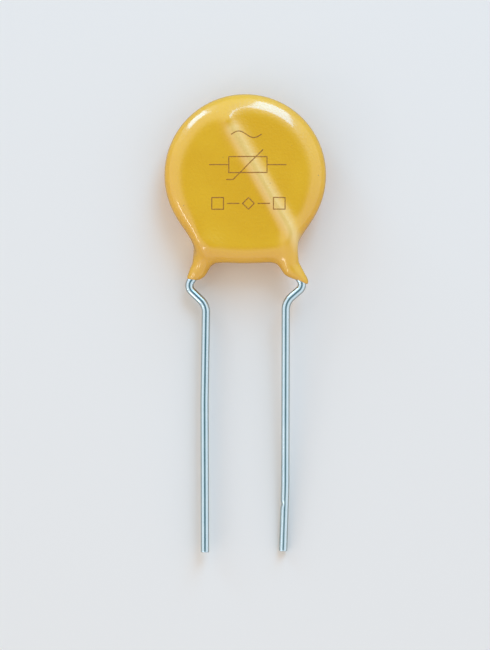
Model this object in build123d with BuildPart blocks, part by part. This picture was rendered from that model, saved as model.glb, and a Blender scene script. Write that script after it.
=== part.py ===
"""Radial-lead disc varistor, lying on its back on a table.

A sintered zinc-oxide disc carries a fired silver electrode on each flat. A tinned wire is soldered
across each electrode, and the whole is dipped in epoxy, which swells over both wires and runs a
little way down them. Millimetres; +Z is up through the front face, the wires run out along -Y, and
the origin is on the table under the middle of the outline.
"""

import os
from math import atan2, cos, pi, sin, sqrt

from build123d import *

# Sintered disc and its fired electrodes
disc_radius = 6.9
disc_height = 2.0
disc_edge_bevel = 0.12
electrode_radius = 6.45
electrode_height = 0.02

# Tinned wire
wire_radius = 0.39
wire_end_bevel = 0.06
solder_film = 0.03  # solder left between wire and electrode
wire_seat = disc_height / 2 + electrode_height + solder_film + wire_radius  # wire axis from mid-disc

# Solder mound along each wire
mound_half_width = 1.1
mound_height = 0.62
mound_flank = 1.3  # radius of its hollow flanks
mound_run = 9.2
mound_tuck = 0.02  # how far its top edge runs into the wire's side

# Dipped coating: a flat pillow over the disc, with a short neck towards the wires
coat_radius = 7.65
face_level = 1.70  # flat face from mid-disc
rim_round = 1.62
neck_half_width = 4.83
neck_length = 8.27
neck_blend = 1.7
neck_corner = 1.75

# Ridge of coating over each wire, and the sleeve round the wire from there to the end of the neck
film_over_wire = 0.27
ridge_crest = wire_radius + film_over_wire  # radius of the ridge's rounded top
ridge_level = wire_seat + ridge_crest
ridge_flank = 3.2  # radius of its hollow flanks
ridge_sink = 0.08  # how far the flanks run under the flat face
ridge_root = 0.9
ridge_run = 8.0
sleeve_radius = ridge_crest - 0.02
sleeve_start = 3.0
sleeve_blend = 1.2
sleeve_bare = 9.4  # distance along the run where the sleeve stands alone on the flat face

# Rest: the rear ridge lies on the table, and the tip of the front wire touches it
tip_reach = 35.8  # from the disc's centre to the end of the rear wire
mid_z = ridge_level
disc_y = (tip_reach - coat_radius) / 2

# Route of each wire from the disc's centre, on its own side: x outwards, z out of its own face
wire_start = (-1.80, 3.38)
wire_turn = (3.35, -6.29)
front_route = [
    (*wire_start, wire_seat),
    (*wire_turn, wire_seat),
    (4.21, -8.56, 0.42),
    (5.64, -10.46, 0.20),
    (3.84, -12.02, 0.14),
    (3.81, -29.60, -1.25),
    (3.61, -35.72, wire_radius - mid_z),
]
rear_route = [
    (*wire_start, wire_seat),
    (*wire_turn, wire_seat),
    (4.15, -8.60, 1.05),
    (5.54, -10.56, 0.97),
    (3.72, -12.31, 0.97),
    (3.86, -21.50, 0.97),
    (3.82, -tip_reach, 0.97),
]
wire_bends = [1.6, 1.2, 0.75, 1.6, 40.0]

# Drip of coating down each wire: distance along the wire, and radius there
front_drip = [(12.3, 0.55), (13.4, 0.74), (14.3, 0.77), (15.3, 0.71), (16.2, 0.60)]
rear_drip = [(12.3, 0.55), (13.2, 0.70), (13.9, 0.68), (14.6, 0.57), (15.3, 0.47)]

# Direction of the wires' straight run across the disc
run_length = sqrt((wire_turn[0] - wire_start[0]) ** 2 + (wire_turn[1] - wire_start[1]) ** 2)
run_x = (wire_turn[0] - wire_start[0]) / run_length
run_y = (wire_turn[1] - wire_start[1]) / run_length


def on_side(side, x, y, z):
    """A point of one face (side 1 is the front, -1 the rear) in the part's frame."""
    return Vector(side * x, y + disc_y, side * z + mid_z)


def across_run(side, distance):
    """A plane square to the wire's run, at a distance from its start, with its y out of the face."""
    x = wire_start[0] + distance * run_x
    y = wire_start[1] + distance * run_y
    along = Vector(side * run_x, run_y, 0)
    out = Vector(0, 0, side)
    return Plane(on_side(side, x, y, 0), x_dir=out.cross(along), z_dir=along)


def wire_path(side, route):
    """Centre line of a wire: straight runs joined by tangent bends."""
    with BuildLine() as line:
        FilletPolyline(*[on_side(side, *point) for point in route], radius=wire_bends)
    return line.wires()[0]


def half_ridge():
    """Half of the ridge's section: a rounded crest over the wire, then a hollow flank."""
    flank_y = face_level - ridge_sink + ridge_flank
    flank_x = sqrt((ridge_flank + ridge_crest) ** 2 - (flank_y - wire_seat) ** 2)
    turn = atan2(flank_x, flank_y - wire_seat)
    crest_mid = (ridge_crest * sin(turn / 2), wire_seat + ridge_crest * cos(turn / 2))
    crest_end = (ridge_crest * sin(turn), wire_seat + ridge_crest * cos(turn))
    flank_mid = (flank_x - ridge_flank * sin(turn / 2), flank_y - ridge_flank * cos(turn / 2))
    flank_end = (flank_x, flank_y - ridge_flank)
    root = face_level - ridge_root
    ThreePointArc((0, ridge_level), crest_mid, crest_end)
    ThreePointArc(crest_end, flank_mid, flank_end)
    Polyline(flank_end, (flank_x, root), (0, root), (0, ridge_level))


def half_mound():
    """Half of the solder mound's section: a hollow flank from the electrode up to the wire's side."""
    base = disc_height / 2 + electrode_height
    top = base + mound_height
    top_x = sqrt(wire_radius**2 - (top - wire_seat) ** 2) - mound_tuck
    Line((0, base), (mound_half_width, base))
    RadiusArc((mound_half_width, base), (top_x, top), mound_flank)
    Polyline((top_x, top), (0, top), (0, base))


def make_bank(side, half_section, run):
    """A bank along the wire's run: a mirrored half section drawn out, with a round end each way."""
    with BuildPart() as bank:
        with BuildSketch(across_run(side, 0)):
            with BuildLine():
                half_section()
            make_face()
            mirror(about=Plane.YZ)
        extrude(amount=run)
        for distance in (0, run):
            plane = across_run(side, distance)
            with BuildSketch(plane):
                with BuildLine():
                    half_section()
                make_face()
            revolve(axis=Axis(plane.origin, (0, 0, 1)))
    return bank.part


def make_sleeve(side, route):
    """Coating round the wire, from inside the ridge to the end of the neck."""
    start = across_run(side, sleeve_start)
    on_wire = start.origin + Vector(0, 0, side * wire_seat)
    with BuildPart() as sleeve:
        with BuildLine():
            FilletPolyline(on_wire, *[on_side(side, *point) for point in route[1:3]], radius=wire_bends[0])
        with BuildSketch(start.shift_origin(on_wire)):
            Circle(sleeve_radius)
        sweep()
    return sleeve.part


def make_drip(path, stations):
    """A drip of coating down the wire, ruled through a circle at each station."""
    with BuildPart() as drip:
        for distance, radius in stations:
            at = path.position_at(distance, position_mode=PositionMode.LENGTH)
            along = path.tangent_at(distance, position_mode=PositionMode.LENGTH)
            with BuildSketch(Plane(at, z_dir=along)):
                Circle(radius)
        loft(ruled=True)
    return drip.part


os.makedirs("parts", exist_ok=True)

# --- Disc ---
with BuildPart() as ceramic_disc:
    with BuildSketch(Plane.XY.offset(mid_z)):
        with Locations((0, disc_y)):
            Circle(disc_radius)
    extrude(amount=disc_height / 2, both=True)
    chamfer(ceramic_disc.edges().filter_by(GeomType.CIRCLE), disc_edge_bevel)
ceramic_disc.part.label = "ceramic_disc"
export_step(ceramic_disc.part, "parts/ceramic_disc.step")

inner_pieces = [ceramic_disc.part]
wire_paths = {}
for name, side, route in (("front", 1, front_route), ("rear", -1, rear_route)):
    # --- Electrode ---
    with BuildPart() as electrode:
        with BuildSketch(Plane.XY.offset(mid_z + side * disc_height / 2)):
            with Locations((0, disc_y)):
                Circle(electrode_radius)
        extrude(amount=side * electrode_height)
    electrode.part.label = f"{name}_electrode"
    export_step(electrode.part, f"parts/{name}_electrode.step")

    # --- Wire ---
    path = wire_path(side, route)
    with BuildPart() as lead:
        with BuildSketch(Plane(path @ 0, z_dir=path % 0)):
            Circle(wire_radius)
        sweep(path=path)
        cut_ends = lead.faces().filter_by(GeomType.PLANE)
        chamfer(cut_ends.edges(), wire_end_bevel)
    lead.part.label = f"{name}_lead"
    export_step(lead.part, f"parts/{name}_lead.step")
    expected_volume = pi * wire_radius**2 * path.length
    print(f"{name} lead: {path.length:.2f} mm long, {lead.part.volume / expected_volume:.4f} of section times length")

    # --- Solder ---
    # The wire's seat is cut by a rod in the mound's own plane, shaped as the wire's straight run is
    with BuildPart() as wire_bed:
        with BuildSketch(across_run(side, 0)):
            with Locations((0, wire_seat)):
                Circle(wire_radius)
        extrude(amount=mound_run + mound_half_width + 2 * wire_end_bevel)
        rod_ends = wire_bed.faces().filter_by(GeomType.PLANE)
        chamfer(rod_ends.edges(), wire_end_bevel)
    with BuildPart() as solder:
        add(make_bank(side, half_mound, mound_run))
        add(wire_bed.part, mode=Mode.SUBTRACT)
    solder.part.label = f"{name}_solder"
    export_step(solder.part, f"parts/{name}_solder.step")

    wire_paths[name] = path
    inner_pieces += [electrode.part, lead.part, solder.part]

# --- Coating ---
with BuildPart() as epoxy_coating:
    with BuildSketch(Plane.XY.offset(mid_z - face_level)) as outline:
        with Locations((0, disc_y)):
            Circle(coat_radius)
        with Locations((0, disc_y - neck_length / 2)):
            Rectangle(2 * neck_half_width, neck_length)
        inside_corners = outline.vertices().group_by(Axis.Y)[-1]
        fillet(inside_corners, neck_blend)
    extrude(amount=2 * face_level)
    neck_corners = epoxy_coating.edges().filter_by(Axis.Z).group_by(Axis.Y)[0]
    fillet(neck_corners, neck_corner)
    flats = epoxy_coating.faces().filter_by(Axis.Z)
    fillet(flats.edges(), rim_round)

    sides = (("front", 1, front_route, front_drip), ("rear", -1, rear_route, rear_drip))
    for name, side, route, stations in sides:
        add(make_bank(side, half_ridge, ridge_run))
        add(make_sleeve(side, route))
        on_face = across_run(side, sleeve_bare).origin + Vector(0, 0, side * face_level)
        sleeve_foot = epoxy_coating.edges().filter_by(GeomType.LINE).sort_by_distance(on_face)[0]
        fillet(sleeve_foot, sleeve_blend)
        add(make_drip(wire_paths[name], stations))
    for piece in inner_pieces:
        add(piece, mode=Mode.SUBTRACT)
epoxy_coating.part.label = "epoxy_coating"
export_step(epoxy_coating.part, "parts/epoxy_coating.step")
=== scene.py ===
"""Looks of a disc varistor lying on its back: a dipped epoxy coat over two soldered wires.

Shapes are worked out in millimetres from the middle of the disc, with x to the right, y away from the
wires and z out of the front face. place() takes them into the part's frame, in metres.
"""

import bpy
import numpy as np
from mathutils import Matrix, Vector


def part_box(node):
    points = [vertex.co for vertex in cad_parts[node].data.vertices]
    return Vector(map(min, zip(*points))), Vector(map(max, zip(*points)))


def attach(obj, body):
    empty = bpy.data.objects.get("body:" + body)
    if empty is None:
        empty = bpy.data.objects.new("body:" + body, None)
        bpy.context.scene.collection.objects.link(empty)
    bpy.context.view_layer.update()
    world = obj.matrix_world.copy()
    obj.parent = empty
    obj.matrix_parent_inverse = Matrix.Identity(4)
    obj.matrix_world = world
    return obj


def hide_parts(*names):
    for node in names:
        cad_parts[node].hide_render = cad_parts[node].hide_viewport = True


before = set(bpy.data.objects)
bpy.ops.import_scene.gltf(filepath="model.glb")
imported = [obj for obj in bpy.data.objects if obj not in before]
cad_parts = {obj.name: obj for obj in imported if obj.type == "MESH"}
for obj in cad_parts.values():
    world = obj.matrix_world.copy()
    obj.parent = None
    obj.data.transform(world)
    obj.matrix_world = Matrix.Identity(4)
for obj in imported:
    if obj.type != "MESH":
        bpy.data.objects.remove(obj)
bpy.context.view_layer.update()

mm = 0.001
disc_low, disc_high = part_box("ceramic_disc")
disc_middle = np.array((disc_low + disc_high) / 2)

# Wires: the route of each from the disc, on its own side, with x outwards and z out of its own face
wire_radius = 0.39
wire_seat = 1.44  # wire's axis from the middle of the disc
wire_bends = [1.6, 1.2, 0.75, 1.6, 40.0]  # radius at each corner of the route
across_disc = [(-1.15, 4.25, wire_seat), (4.33, -5.36, wire_seat)]
front_route = across_disc + [
    (4.21, -8.56, 0.42),
    (5.64, -10.46, 0.20),
    (3.84, -12.02, 0.14),
    (3.81, -29.60, -1.25),
    (3.61, -35.72, -1.71),
]
rear_route = across_disc + [
    (4.15, -8.60, 1.05),
    (5.54, -10.56, 0.97),
    (3.72, -12.31, 0.97),
    (3.86, -21.50, 0.97),
    (3.82, -35.80, 0.97),
]
bend_step = 0.02  # between the points worked out along a bend, before they are spaced evenly
wire_ring_spacing = 0.1
wire_ring_points = 48

# Ends of the wires: rings over the end, as shares of the radius, and how it rounds off at its edge
end_shares = [0.0, 0.3, 0.6, 0.86, 0.93, 0.98]
end_round = 0.15  # share of the radius
end_depth = 0.06

# A small nick in the side of the front wire
nick_place = (3.42, -31.23)
nick_depth = 0.07
nick_reach = 0.22

# Coat: a flat pillow over the disc, with a short neck towards the wires
coat_outline = (7.65, 4.72, 8.16, 4.0, 2.4)  # disc radius, neck half width and length, corner and blend
flat_outline = (5.40, 4.35, 6.60, 3.0, 2.6)  # the same for the flat part of the face
face_level = 1.70
face_crown = 0.03  # a slight swell of the face, highest at crown_middle
crown_middle = (-0.8, 0.6)
crown_spread = 2.6
rim_power = 2.1  # 2 is an ellipse, and more keeps flatter before it turns
least_rim = 0.2  # the rim is never taken as narrower than this

# Coat round each wire: its radius at distances along the wire. Where it is negative, only the melting
# into the pillow shows.
front_coat = [
    (0.0, -0.80),
    (0.9, -0.46),
    (3.3, -0.10),
    (5.8, 0.08),
    (9.3, 0.13),
    (11.1, 0.16),
    (12.8, 0.48),
    (14.2, 0.71),
    (15.1, 0.76),
    (17.2, 0.62),
]
rear_coat = front_coat[:6] + [
    (12.8, 0.46),
    (14.0, 0.67),
    (14.7, 0.67),
    (16.2, 0.47),
]
coated_bends = 3  # bends of the wire that the coat reaches
ridge_lead = 0.8  # how far before the wire the ridge starts
crest_lift = (0.25, 0.18)  # how far above the wire's axis the ridge is centred, at each end of its run

# How broadly the coat round a wire melts into the pillow, at distances along the wire
ridge_melt = [
    (0.0, 3.6),
    (3.3, 2.5),
    (5.8, 1.9),
    (8.3, 1.8),
    (11.3, 1.9),
    (12.8, 1.8),
    (14.8, 1.6),
    (16.0, 1.0),
]
table_round = 1.0  # distance along the wire over which these tables are rounded off
table_steps = 400

# Web of coat that fills the corner between the neck and each leg, by side: two points and the radius at each
front_web = ((3.20, -6.60, -0.35, 0.74), (4.25, -8.85, 0.15, 0.36))
rear_web = ((-3.20, -6.70, 0.45, 0.78), (-4.42, -9.00, -0.65, 0.48))
web_melt = 1.9

# Where the coat stops on each wire: a point of the cut and its outward direction
front_stop = ((5.10, -10.02, 0.0), (-0.45, -0.89, 0.0))
rear_stop = ((-5.00, -9.80, 0.0), (0.05, -1.00, 0.0))
stop_round = 0.60

# Lattice that the coat's skin is worked out on. Its levels lie clear of the ridges' crests, because a
# level that only grazes the skin leaves faults in it.
coat_low = (-7.84, -10.93, -2.1927)
coat_high = (7.90, 7.90, 2.35)
lattice_spacing = 0.0877
slope_step = 0.002
furthest_move = 0.1  # that a point makes towards the skin at once
evening_passes = 3

# Faint specks in the coat: place, and radius
specks = [(6.90, -0.09, 0.09), (-5.80, -2.94, 0.08), (2.35, -0.85, 0.07), (-2.1, 1.6, 0.06), (4.4, 2.7, 0.05)]

# Ink marks on the front face, as strokes in x and y: a wave, the sign for a varistor and a row of shapes
ink_half_width = 0.05
ink_rise = 0.012  # how far the ink stands out of the coat, and how deep it is sunk
ink_ring_spacing = 0.12
ink_ring_points = 8
ink_cap_rings = 3  # rings that round off each end of a stroke
height_halvings = 20
sign_strokes = [
    [(-1.55, 0.15), (2.05, 0.15), (2.05, 1.65), (-1.55, 1.65), (-1.55, 0.15)],
    [(-3.35, 0.90), (-1.55, 0.90)],
    [(2.05, 0.90), (3.85, 0.90)],
    [(-1.75, -0.50), (-1.15, -0.50), (1.65, 2.30)],
]
row_level = -2.75
row_half_height = 0.55
row_shapes = ["square", "bar", "diamond", "bar", "square"]
row_start = -2.6
row_pitch = 1.45
wave_start = (-1.3, 3.75)
wave_length = 2.8
wave_height = 0.30
wave_points = 25


def place(points):
    """Points in millimetres from the disc's middle, as metres in the part's frame."""
    return np.asarray(points) * mm + disc_middle


def unit(vector):
    """A vector, or each of an array of them, at length 1."""
    return vector / np.linalg.norm(vector, axis=-1, keepdims=True)


def melt(a, b, width):
    """Lesser of two distances, lowered where they are close so that they melt together.

    It is lowered by a sixth of the width, times the cube of how close they are as a share of the width.
    """
    near = np.clip(1 - np.abs(a - b) / width, 0, 1)
    return np.minimum(a, b) - width / 6 * near**3


def circle_angles(count):
    """Angles spaced evenly round a circle."""
    return np.linspace(0, 2 * np.pi, count, endpoint=False)


# --- Wires ---


def wire_parts(side, route):
    """Straight runs and tangent arcs of a wire, on the front (side 1) or turned over on the rear (side -1).

    At a corner where the two runs make an angle of twice h, an arc of radius r has its centre r / sin(h)
    from the corner on the bisector, and meets the runs r / tan(h) from it.
    """
    corners = np.array(route) * (side, 1, side)
    runs = []
    arcs = []
    begin = corners[0]
    distance = 0.0
    for before, corner, after, radius in zip(corners, corners[1:], corners[2:], wire_bends):
        back = unit(before - corner)
        ahead = unit(after - corner)
        half = np.arccos(back @ ahead) / 2
        turn = np.pi / 2 - half
        inward = unit(back + ahead)
        sideways = unit(ahead - back)
        end = corner + back * radius / np.tan(half)
        runs.append((begin, end, distance))
        distance += np.linalg.norm(end - begin)
        arcs.append((corner + inward * radius / np.sin(half), -inward, sideways, radius, turn, distance))
        distance += 2 * turn * radius
        begin = corner + ahead * radius / np.tan(half)
    runs.append((begin, corners[-1], distance))
    return runs, arcs


def wire_line(side, route):
    """Points along a wire's runs and arcs, evenly spaced at about wire_ring_spacing."""
    runs, arcs = wire_parts(side, route)
    stretches = [runs[0][0][None]]
    for centre, outward, sideways, radius, turn, _ in arcs:
        angle = np.linspace(-turn, turn, 2 + int(2 * turn * radius / bend_step))[:, None]
        stretches.append(centre + radius * (outward * np.cos(angle) + sideways * np.sin(angle)))
    stretches.append(runs[-1][1][None])
    line = np.concatenate(stretches)
    along = np.append(0, np.cumsum(np.linalg.norm(np.diff(line, axis=0), axis=1)))
    even = np.linspace(0, along[-1], 1 + int(along[-1] / wire_ring_spacing))
    return np.stack([np.interp(even, along, line[:, axis]) for axis in range(3)], -1)


def nearest_on_wire(points, runs, arcs):
    """Each point's distance to a wire's centre line, and how far along the wire the nearest place is.

    On a run the nearest place is the point's shadow on it, kept between its ends. On an arc it is the
    point's direction from the arc's centre, in the arc's plane, kept within its turn.
    """
    gap = np.full(points.shape[:-1], np.inf)
    along = np.zeros(points.shape[:-1])
    for begin, end, start in runs:
        length = np.linalg.norm(end - begin)
        direction = (end - begin) / length
        t = np.clip((points - begin) @ direction, 0, length)
        distance = np.linalg.norm(points - begin - t[..., None] * direction, axis=-1)
        closer = distance < gap
        gap = np.where(closer, distance, gap)
        along = np.where(closer, start + t, along)
    for centre, outward, sideways, radius, turn, start in arcs:
        from_centre = points - centre
        angle = np.arctan2(from_centre @ sideways, from_centre @ outward)
        angle = np.clip(angle, -turn, turn)[..., None]
        on_arc = radius * (outward * np.cos(angle) + sideways * np.sin(angle))
        distance = np.linalg.norm(from_centre - on_arc, axis=-1)
        closer = distance < gap
        gap = np.where(closer, distance, gap)
        along = np.where(closer, start + radius * (angle[..., 0] + turn), along)
    return gap, along


def lead_rings(side, route):
    """Round rings along a wire's centre line, square to it, closed at both ends.

    A ring's point at angle a is the centre plus the radius times cos a sideways and sin a upwards. Near
    the nick the radius is less, by nick_depth times e to the power of minus the square of the distance
    from nick_place over nick_reach. The rings over an end are flat, but for the outer end_round of the
    radius, where they drop by a quarter of an ellipse that would be end_depth deep at the full radius.
    """
    line = wire_line(side, route)
    tangent = unit(np.gradient(line, axis=0))
    sideways = unit(np.cross(tangent, (0, 0, 1)))
    upward = np.cross(sideways, tangent)
    angle = circle_angles(wire_ring_points)[:, None]
    circle = np.cos(angle) * sideways[:, None] + np.sin(angle) * upward[:, None]
    rings = line[:, None] + wire_radius * circle
    from_nick = np.linalg.norm(rings[..., :2] - nick_place, axis=-1) / nick_reach
    rings = rings - nick_depth * np.exp(-(from_nick**2))[..., None] * circle
    share = np.array(end_shares)[:, None, None]
    over_edge = np.maximum(share - (1 - end_round), 0) / end_round
    drop = end_depth * (1 - np.sqrt(1 - over_edge**2))
    first_end = line[0] + wire_radius * share * circle[0] + drop * tangent[0]
    last_end = line[-1] + wire_radius * share * circle[-1] - drop * tangent[-1]
    return np.concatenate([first_end, rings[1:-1], last_end[::-1]])


# --- Coat ---


def ridge_route(route):
    """A wire's route with its run over the disc raised by crest_lift, and begun ridge_lead earlier."""
    start, turn = [np.add(point, (0, 0, lift)) for point, lift in zip(route, crest_lift)]
    return [start - ridge_lead * unit(turn - start), turn] + route[2:]


def smooth_table(stations):
    """A table of values along a wire, rounded off at its stations by averaging over table_round."""
    at, value = np.array(stations).T
    fine = np.linspace(-table_round, at[-1] + table_round, table_steps)
    window = int(table_round / (fine[1] - fine[0])) | 1  # the next odd number
    padded = np.pad(np.interp(fine, at, value), window // 2, mode="edge")
    return fine, np.convolve(padded, np.ones(window) / window, mode="valid")


coated_wires = []
for side, route, coat, web, (stop, outward) in (
    (1, front_route, front_coat, front_web, front_stop),
    (-1, rear_route, rear_coat, rear_web, rear_stop),
):
    runs, arcs = wire_parts(side, ridge_route(route))
    wire = {
        "runs": runs[: coated_bends + 1],
        "arcs": arcs[:coated_bends],
        "coat_radius": smooth_table(coat),
        "web": np.array(web),
        "stop": np.array(stop),
        "outward": unit(np.array(outward)),
    }
    coated_wires.append(wire)
melt_width = smooth_table(ridge_melt)


def plan_gap(x, y, outline):
    """Distance outside a plan outline: a circle melted into a neck, whose corners are melted round."""
    radius, half_width, length, corner, blend = outline
    circle = np.hypot(x, y) - radius
    beside = half_width - np.abs(x)
    beyond = length / 2 - np.abs(y + length / 2)
    return melt(circle, -melt(beside, beyond, corner), blend)


def tapered_gap(points, first, second):
    """Distance outside a round-ended cone between two points, each with its radius as a fourth number."""
    span = second[:3] - first[:3]
    t = np.clip((points - first[:3]) @ span / (span @ span), 0, 1)
    distance = np.linalg.norm(points - first[:3] - t[..., None] * span, axis=-1)
    return distance - first[3] - t * (second[3] - first[3])


def coat_field(points):
    """Negative inside the coat, zero on its skin and positive outside, in about millimetres.

    The pillow's face stands at face_level, plus face_crown times the cosine of the distance from
    crown_middle over crown_spread. Its section at the rim is a superellipse: the share of the way from
    the flat to the outline and the share of the way from the middle plane to the face, each raised to
    rim_power, add up to 1 on the skin. A tube round each wire, cut where the coat stops, melts into it,
    and so does the web beside the tube.
    """
    x, y, z = np.moveaxis(points, -1, 0)
    off_crown = np.hypot(x - crown_middle[0], y - crown_middle[1])
    level = face_level + face_crown * np.cos(off_crown / crown_spread)
    off_flat = np.maximum(plan_gap(x, y, flat_outline), 0)
    over_rim = off_flat / np.maximum(off_flat - plan_gap(x, y, coat_outline), least_rim)
    up = np.abs(z) / level
    skin = ((over_rim**rim_power + up**rim_power) ** (1 / rim_power) - 1) * face_level
    for wire in coated_wires:
        gap, along = nearest_on_wire(points, wire["runs"], wire["arcs"])
        tube = gap - np.interp(along, *wire["coat_radius"])
        past_stop = (points - wire["stop"]) @ wire["outward"]
        tube = -melt(-tube, -past_stop, stop_round)
        skin = melt(skin, tube, np.interp(along, *melt_width))
        skin = melt(skin, tapered_gap(points, *wire["web"]), web_melt)
    return skin


def field_slope(points):
    """Slope of coat_field at each point along x, y and z, by central differences."""
    rises = [coat_field(points + step) - coat_field(points - step) for step in slope_step * np.eye(3)]
    return np.stack(rises, -1) / (2 * slope_step)


def onto_skin(points):
    """Points moved towards the coat's skin: each goes down the slope by the field over the slope squared."""
    slope = field_slope(points)
    squared = (slope**2).sum(-1, keepdims=True)
    move = np.clip(coat_field(points)[:, None] / squared, -furthest_move, furthest_move)
    return points - move * slope


def lattice_skin():
    """Points and squares over the closed skin where coat_field is zero, as the lattice catches it.

    One skin branches into two legs, so it isn't one grid of two parameters. The field is worked out on a
    lattice instead. Each lattice cell that the skin crosses gets a point, at the mean of the crossings on
    the cell's edges, and each lattice edge that it crosses gets a square, between the points of the four
    cells round the edge.
    """
    ticks = [np.arange(low, high, lattice_spacing) for low, high in zip(coat_low, coat_high)]
    lattice = np.stack(np.meshgrid(*ticks, indexing="ij"), -1)
    value = coat_field(lattice)
    cells = np.array(value.shape) - 1
    total = np.zeros((*cells, 3))
    count = np.zeros(cells)
    crossings = []
    for axis in range(3):
        turned = [axis, (axis + 1) % 3, (axis + 2) % 3]
        level = value.transpose(turned)
        below = level[:-1]
        above = level[1:]
        crossed = (below < 0) != (above < 0)
        share = np.where(crossed, below / np.where(crossed, below - above, 1), 0)
        position = lattice.transpose(turned + [3])[:-1] + share[..., None] * lattice_spacing * np.eye(3)[axis]
        position = position * crossed[..., None]
        total_turned = total.transpose(turned + [3])
        count_turned = count.transpose(turned)
        wide, deep = count_turned.shape[1:]
        for i in (0, 1):
            for j in (0, 1):
                total_turned += position[:, i : i + wide, j : j + deep]
                count_turned += crossed[:, i : i + wide, j : j + deep]
        crossings.append((turned, crossed, below < 0))
    used = count > 0
    points = total[used] / count[used][:, None]
    number = np.full(cells, -1)
    number[used] = np.arange(len(points))
    squares = []
    for turned, crossed, rising in crossings:
        along, across, up = np.nonzero(crossed)
        cell = number.transpose(turned)
        corners = [(across - 1, up - 1), (across, up - 1), (across, up), (across - 1, up)]
        square = np.stack([cell[along, a, b] for a, b in corners], -1)
        squares.append(np.where(rising[along, across, up][:, None], square, square[:, ::-1]))
    return points, np.concatenate(squares)


def coat_skin():
    """Points and squares of the coat: the lattice's, evened out and put onto the skin.

    Each pass takes every point half way to the mean of its neighbours and then back to the skin.
    """
    points, squares = lattice_skin()
    start = squares.ravel()
    end = np.roll(squares, -1, axis=1).ravel()
    neighbours = np.bincount(start)[:, None]
    points = onto_skin(points)
    for _ in range(evening_passes):
        mean = np.stack([np.bincount(start, points[end, axis]) for axis in range(3)], -1) / neighbours
        points = onto_skin((points + mean) / 2)
    return points, squares


# --- Ink ---


def row_strokes():
    """Strokes of the row of plain shapes, one shape at each pitch."""
    strokes = []
    for number, shape in enumerate(row_shapes):
        x = row_start + number * row_pitch
        low = row_level - row_half_height
        high = row_level + row_half_height
        left = x - row_half_height
        right = x + row_half_height
        if shape == "bar":
            strokes.append([(left, row_level), (right, row_level)])
        elif shape == "square":
            strokes.append([(left, low), (right, low), (right, high), (left, high), (left, low)])
        else:
            strokes.append([(x, low), (right, row_level), (x, high), (left, row_level), (x, low)])
    return strokes


def wave_stroke():
    """One wave of a sine, with its middle line level."""
    share = np.linspace(0, 1, wave_points)
    x = wave_start[0] + wave_length * share
    y = wave_start[1] + wave_height * np.sin(2 * np.pi * share)
    return list(zip(x, y))


def face_height(x, y):
    """Height of the coat's front skin over places in x and y, by halving between inside and outside it."""
    inside = np.zeros_like(x)
    outside = np.full_like(x, coat_high[2])
    for _ in range(height_halvings):
        middle = (inside + outside) / 2
        within = coat_field(np.stack([x, y, middle], -1)) < 0
        inside = np.where(within, middle, inside)
        outside = np.where(within, outside, middle)
    return inside


def stroke_rings(start, end):
    """Rings of a flat stroke of ink along a straight line over the front face, closed at both ends.

    A ring's point at angle a is the skin under the line's point, plus ink_half_width times cos a across
    the line and ink_rise times sin a out of the skin. The rings shrink at the ends as a circle does.
    """
    middle = (start + end) / 2
    half_length = np.linalg.norm(end - start) / 2
    ahead = unit(end - start)
    across = np.array((-ahead[1], ahead[0]))
    straight = np.linspace(-half_length, half_length, 2 + int(2 * half_length / ink_ring_spacing))
    cap = half_length + ink_half_width * np.sin(np.linspace(0, np.pi / 2, 1 + ink_cap_rings)[1:])
    along = np.concatenate([-cap[::-1], straight, cap])[:, None]
    past_end = np.maximum(np.abs(along) - half_length, 0) / ink_half_width
    size = np.sqrt(np.maximum(1 - past_end**2, 0))
    angle = circle_angles(ink_ring_points)
    aside = ink_half_width * size * np.cos(angle)
    x = middle[0] + along * ahead[0] + aside * across[0]
    y = middle[1] + along * ahead[1] + aside * across[1]
    z = face_height(x, y) + ink_rise * size * np.sin(angle)
    return np.stack([x, y, z], -1)


# --- Meshes ---


def closed_rings(rings):
    """Points and groups of faces over rings of points, the first and last of which are each one point.

    Neighbouring rings are joined by squares, and the end points by triangles.
    """
    around = rings.shape[1]
    points = np.concatenate([rings[0, :1], rings[1:-1].reshape(-1, 3), rings[-1, :1]])
    here = np.arange(around)
    ahead = np.roll(here, -1)
    first = 1 + around * np.arange(len(rings) - 3)[:, None]
    squares = np.stack([first + here, first + around + here, first + around + ahead, first + ahead], -1)
    last = len(points) - 1
    start_cap = np.stack([np.zeros_like(here), 1 + here, 1 + ahead], -1)
    end_cap = np.stack([np.full_like(here, last), last - around + ahead, last - around + here], -1)
    return points, [start_cap, squares.reshape(-1, 4), end_cap]


def ink_marks():
    """Points and groups of faces of every stroke of ink, each a closed shape."""
    all_points = []
    all_groups = []
    count = 0
    for path in sign_strokes + row_strokes() + [wave_stroke()]:
        for start, end in zip(path, path[1:]):
            points, groups = closed_rings(stroke_rings(np.array(start), np.array(end)))
            all_points.append(points)
            all_groups += [group + count for group in groups]
            count += len(points)
    return np.concatenate(all_points), all_groups


def add_piece(name, points, groups, finish, slot, *stands_for):
    """A mesh that rides on the part and stands in the place of the CAD nodes that are named, if any.

    Its points are in millimetres, and each group of its faces is an array of their corners' numbers.
    """
    mesh = bpy.data.meshes.new(name)
    mesh.from_pydata(place(points).tolist(), [], [face for group in groups for face in group.tolist()])
    mesh.shade_smooth()
    mesh.materials.append(finish)
    piece = bpy.data.objects.new(name, mesh)
    bpy.context.scene.collection.objects.link(piece)
    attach(piece, "root")
    if stands_for:
        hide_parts(*stands_for)


# --- Finishes ---


class Number:
    """A number coming out of a node, so that sums and products of them can be written as Python."""

    def __init__(self, finish, socket):
        self.finish = finish
        self.socket = socket

    def __add__(self, other):
        return self.finish.math("ADD", self, other)

    def __sub__(self, other):
        return self.finish.math("SUBTRACT", self, other)

    def __rsub__(self, other):
        return self.finish.math("SUBTRACT", other, self)

    def __mul__(self, other):
        return self.finish.math("MULTIPLY", self, other)

    __radd__ = __add__
    __rmul__ = __mul__


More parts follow.
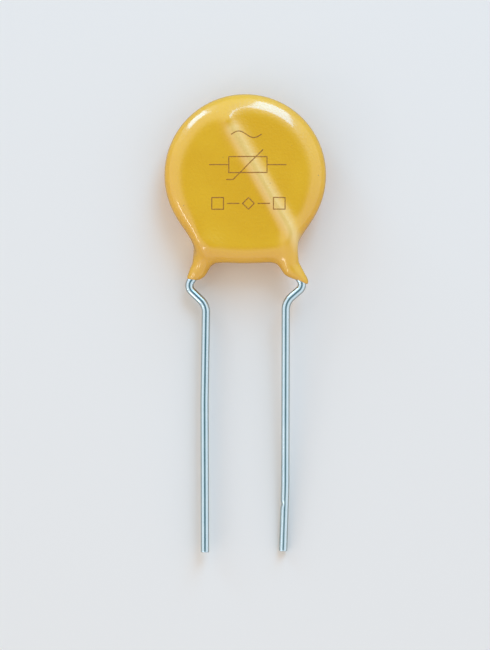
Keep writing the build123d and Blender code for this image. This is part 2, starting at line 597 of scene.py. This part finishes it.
class Placed:
    """A node that a finish has placed, whose outputs feed others."""

    def __init__(self, finish, node):
        self.finish = finish
        self.node = node

    def out(self, key=0):
        return self.node.outputs[key]

    def number(self, key=0):
        return Number(self.finish, self.node.outputs[key])


class Finish:
    """The nodes of a material or a world, added one at a time."""

    def __init__(self, owner):
        self.owner = owner
        self.owner.use_nodes = True
        self.tree = owner.node_tree
        self.tree.nodes.clear()

    def node(self, kind, settings=None, inputs=None):
        """Adds a node: its settings first, then its inputs, which are given by name or by number."""
        node = self.tree.nodes.new(kind)
        for key, value in (settings or {}).items():
            setattr(node, key, value)
        for key, value in (inputs or {}).items():
            if isinstance(value, Number):
                value = value.socket
            if isinstance(value, bpy.types.NodeSocket):
                self.tree.links.new(value, node.inputs[key])
            else:
                node.inputs[key].default_value = value
        return Placed(self, node)

    def math(self, operation, *values):
        """A number worked out from others."""
        return self.node("ShaderNodeMath", {"operation": operation}, dict(enumerate(values))).number()

    def noise(self, scale, detail, roughness=0.5, stretch=(1, 1, 1)):
        """Noise of a given number of blobs per metre in the part's own frame, from 0 to 1."""
        coordinates = self.node("ShaderNodeTexCoord").out("Object")
        stretched = self.node("ShaderNodeMapping", inputs={"Vector": coordinates, "Scale": stretch}).out()
        inputs = {"Vector": stretched, "Scale": scale, "Detail": detail, "Roughness": roughness}
        return self.node("ShaderNodeTexNoise", inputs=inputs).number()

    def between(self, value, low, high):
        """0 where value is under low, 1 where it is over high, and a smooth step between."""
        settings = {"interpolation_type": "SMOOTHSTEP"}
        return self.node("ShaderNodeMapRange", settings, {0: value, 1: low, 2: high}).number()

    def from_disc(self):
        """The point's x, y and z in metres from the disc's middle."""
        coordinates = self.node("ShaderNodeTexCoord").out("Object")
        apart = self.node("ShaderNodeSeparateXYZ", inputs={"Vector": coordinates})
        return [apart.number(axis) - float(middle) for axis, middle in zip("XYZ", disc_middle)]

    def reach(self, across, away):
        """Length of a flat line that goes so far across and so far away."""
        return self.math("SQRT", across * across + away * away)

    def spot(self, x, y, radius):
        """1 within 0.4 of a radius from a place, given in millimetres like it, and 0 beyond the radius."""
        across, away, _ = self.from_disc()
        distance = self.reach(across - x * mm, away - y * mm)
        return 1 - self.between(distance, 0.4 * radius * mm, radius * mm)

    def beside_ridge(self):
        """Distance in metres from the line of the ridge, seen square to the face that the point is on."""
        across, away, up = self.from_disc()
        start, turn = np.array(across_disc)[:, :2] * mm
        along_x, along_y = unit(turn - start).tolist()
        across = self.math("SIGN", up) * across - float(start[0])
        away = away - float(start[1])
        along = self.math("MAXIMUM", across * along_x + away * along_y, 0.0)
        return self.reach(across - along * along_x, away - along * along_y)

    def mix(self, share, first, second):
        """The first colour, moved towards the second by a share."""
        colors = {0: share, 6: first, 7: second}
        return self.node("ShaderNodeMix", {"data_type": "RGBA"}, colors).out(2)

    def bump(self, height, depth):
        """A bump of a height from 0 to 1 that stands depth metres high."""
        return self.node("ShaderNodeBump", inputs={"Height": height, "Distance": depth}).out()

    def surface(self, inputs):
        """Ends the material with a Principled surface of these inputs."""
        shader = self.node("ShaderNodeBsdfPrincipled", inputs=inputs).out()
        self.node("ShaderNodeOutputMaterial", inputs={"Surface": shader})
        return self.owner


def epoxy_finish():
    """Glossy golden dipped epoxy, cloudy, with an orange peel and a few specks, and painted paler over the
    wires: partly a thinner coat there, partly a painted reflection that evens out the ridge's crest and
    flanks.
    """
    deep_gold = (0.86, 0.435, 0.001, 1)
    light_gold = (0.90, 0.475, 0.005, 1)
    thin_coat_and_sheen_gold = (0.96, 0.61, 0.16, 1)
    speck_brown = (0.16, 0.12, 0.06, 1)
    finish = Finish(bpy.data.materials.new("dipped_epoxy"))
    cloud = finish.between(finish.noise(220, 3.0), 0.35, 0.7)
    color = finish.mix(cloud, deep_gold, light_gold)
    # Paler band along each ridge: partly the thinner coat over the wire, partly a painted reflection that
    # fills in the darker crest
    over_wire_thin_and_sheen = 1 - finish.between(finish.beside_ridge(), 0.0, 1.0 * mm)
    color = finish.mix(over_wire_thin_and_sheen, color, thin_coat_and_sheen_gold)
    for x, y, radius in specks:
        color = finish.mix(0.5 * finish.spot(x, y, radius), color, speck_brown)
    peel = finish.noise(4200, 2.0)
    wave = finish.noise(700, 2.0)
    inputs = {
        "Base Color": color,
        "Roughness": 0.30 + 0.08 * peel,
        "IOR": 1.5,
        "Coat Weight": 1.0,
        "Coat Roughness": 0.12,
        "Coat IOR": 1.75,
        "Normal": finish.bump(peel + 0.5 * wave, 0.036 * mm),
    }
    return finish.surface(inputs)


def ink_finish():
    """Brown printing ink, worn thin in small patches."""
    finish = Finish(bpy.data.materials.new("brown_ink"))
    wear = finish.noise(5200, 3.0)
    color = finish.mix(finish.between(wear, 0.4, 0.75), (0.33, 0.12, 0.012, 1), (0.52, 0.24, 0.02, 1))
    inputs = {
        "Base Color": color,
        "Roughness": 0.6 + 0.2 * wear,
        "Normal": finish.bump(wear, 0.003 * mm),
    }
    return finish.surface(inputs)


def tinned_finish():
    """Bright tinned copper wire, with fine drawing lines and cloudy patches; its colour is tinted a cool
    blue, a painted reflection of window light on the tin.
    """
    finish = Finish(bpy.data.materials.new("tinned_wire"))
    lines = finish.noise(2600, 2.0, roughness=0.6, stretch=(1, 0.04, 1))
    cloud = finish.noise(500, 3.0)
    inputs = {
        # Blue tint of the wire's colour: painted reflection of cool window light, not the tin's own neutral
        # white
        "Base Color": finish.mix(cloud, (0.60, 0.83, 0.95, 1), (0.74, 0.92, 0.99, 1)),
        "Metallic": 1.0,
        "Roughness": 0.16 + 0.12 * cloud,
        "Normal": finish.bump(lines, 0.004 * mm),
    }
    return finish.surface(inputs)


def solder_finish():
    """Bright solder with a slightly dull, wrinkled skin."""
    finish = Finish(bpy.data.materials.new("solder"))
    skin = finish.noise(1200, 4.0)
    inputs = {
        "Base Color": finish.mix(skin, (0.55, 0.56, 0.57, 1), (0.72, 0.73, 0.74, 1)),
        "Metallic": 1.0,
        "Roughness": 0.25 + 0.2 * skin,
        "Normal": finish.bump(skin, 0.01 * mm),
    }
    return finish.surface(inputs)


def silver_finish():
    """Fired silver paste, matt, with a fine grain."""
    finish = Finish(bpy.data.materials.new("fired_silver"))
    grain = finish.noise(6000, 3.0)
    inputs = {
        "Base Color": finish.mix(grain, (0.62, 0.61, 0.58, 1), (0.80, 0.79, 0.76, 1)),
        "Metallic": 1.0,
        "Roughness": 0.45 + 0.15 * grain,
        "Normal": finish.bump(grain, 0.004 * mm),
    }
    return finish.surface(inputs)


def ceramic_finish():
    """Dark grey sintered zinc oxide with a fine grain."""
    finish = Finish(bpy.data.materials.new("zinc_oxide_ceramic"))
    grain = finish.noise(9000, 4.0)
    inputs = {
        "Base Color": finish.mix(grain, (0.045, 0.047, 0.05, 1), (0.10, 0.103, 0.105, 1)),
        "Roughness": 0.6 + 0.2 * grain,
        "Normal": finish.bump(grain, 0.008 * mm),
    }
    return finish.surface(inputs)


# --- Pieces ---

silver = silver_finish()
solder = solder_finish()
inner_finishes = {
    "ceramic_disc": ceramic_finish(),
    "front_electrode": silver,
    "rear_electrode": silver,
    "front_solder": solder,
    "rear_solder": solder,
}
for node_name, finish in inner_finishes.items():
    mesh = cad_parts[node_name].data
    mesh.materials.clear()
    mesh.materials.append(finish)

coat_points, coat_squares = coat_skin()
add_piece("epoxy_skin", coat_points, [coat_squares], epoxy_finish(), "epoxy", "epoxy_coating")
tinned_wire = tinned_finish()
for name, side, route in (("front", 1, front_route), ("rear", -1, rear_route)):
    points, groups = closed_rings(lead_rings(side, route))
    add_piece(name + "_wire", points, groups, tinned_wire, "tinned_wire", name + "_lead")
mark_points, mark_groups = ink_marks()
add_piece("face_marking", mark_points, mark_groups, ink_finish(), "epoxy")


# --- Studio ---


def pale_floor():
    """A plain pale floor, which shows darker in the reflections on the part than to the eye."""
    finish = Finish(bpy.data.materials.new("pale_floor"))
    plain = {"Base Color": (0.90, 0.81, 0.71, 1), "Roughness": 0.6}
    mirrored = {"Base Color": (0.46, 0.36, 0.28, 1), "Roughness": 0.6}
    shaders = {
        0: finish.node("ShaderNodeLightPath").out("Is Glossy Ray"),
        1: finish.node("ShaderNodeBsdfPrincipled", inputs=plain).out(),
        2: finish.node("ShaderNodeBsdfPrincipled", inputs=mirrored).out(),
    }
    surface = finish.node("ShaderNodeMixShader", inputs=shaders).out()
    finish.node("ShaderNodeOutputMaterial", inputs={"Surface": surface})
    mesh = bpy.data.meshes.new("floor")
    reach = 2.0  # metres to each side
    corners = [(-reach, -reach, 0), (reach, -reach, 0), (reach, reach, 0), (-reach, reach, 0)]
    mesh.from_pydata(corners, [], [(0, 1, 2, 3)])
    mesh.materials.append(finish.owner)
    floor = bpy.data.objects.new("floor", mesh)
    bpy.context.scene.collection.objects.link(floor)


def studio_sky():
    """World light that is pale at the sides and dark overhead, and a little weaker from the wires' side."""
    world = bpy.data.worlds.new("studio")
    bpy.context.scene.world = world
    sky = Finish(world)
    coordinates = sky.node("ShaderNodeTexCoord").out("Generated")
    direction = sky.node("ShaderNodeSeparateXYZ", inputs={"Vector": coordinates})
    overhead = sky.between(direction.number("Z"), 0.80, 0.995)
    color = sky.mix(overhead, (0.96, 0.92, 0.92, 1), (0.05, 0.14, 0.16, 1))
    weakening = {0: direction.number("Y"), 1: -0.9, 2: 0.1, 3: 0.85, 4: 1.0}
    strength = sky.node("ShaderNodeMapRange", inputs=weakening).out()
    light = sky.node("ShaderNodeBackground", inputs={"Color": color, "Strength": strength}).out()
    sky.node("ShaderNodeOutputWorld", inputs={"Surface": light})


def softbox(name, spot, size, power, color):
    """A rectangular lamp facing the part."""
    light = bpy.data.lights.new(name, "AREA")
    light.shape = "RECTANGLE"
    light.size, light.size_y = size
    light.energy = power
    light.color = color
    lamp = bpy.data.objects.new(name, light)
    bpy.context.scene.collection.objects.link(lamp)
    lamp.location = spot
    lamp.rotation_euler = (-Vector(spot)).to_track_quat("-Z", "Y").to_euler()


def overhead_camera():
    """A camera straight above the part, whose frame is 61.56 mm tall at half the part's height."""
    data = bpy.data.cameras.new("camera")
    data.sensor_width = 36.0
    distance = 0.30
    frame_height = 61.56 * mm
    data.lens = data.sensor_width * distance / frame_height
    camera = bpy.data.objects.new("camera", data)
    bpy.context.scene.collection.objects.link(camera)
    camera.location = (-0.02 * mm, -0.13 * mm, 2.1 * mm + distance)
    bpy.context.scene.camera = camera


pale_floor()
studio_sky()
overhead_camera()

# The two large lamps are cool, so that their reflections look nearly white on the golden coat
white = (1.0, 1.0, 1.0)
softbox("key", (0.24, 0.60, 0.40), (0.36, 0.56), 4.0, (0.19, 0.55, 1.0))
softbox("side_window", (-0.50, 0.62, 0.20), (0.24, 0.38), 2.0, (0.27, 0.62, 1.0))
softbox("glint", (-0.60, -0.22, 0.29), (0.09, 0.06), 0.11, white)
softbox("low_glint", (-0.46, -0.44, 0.33), (0.07, 0.22), 0.19, white)
bpy.context.scene.view_settings.view_transform = "Standard"
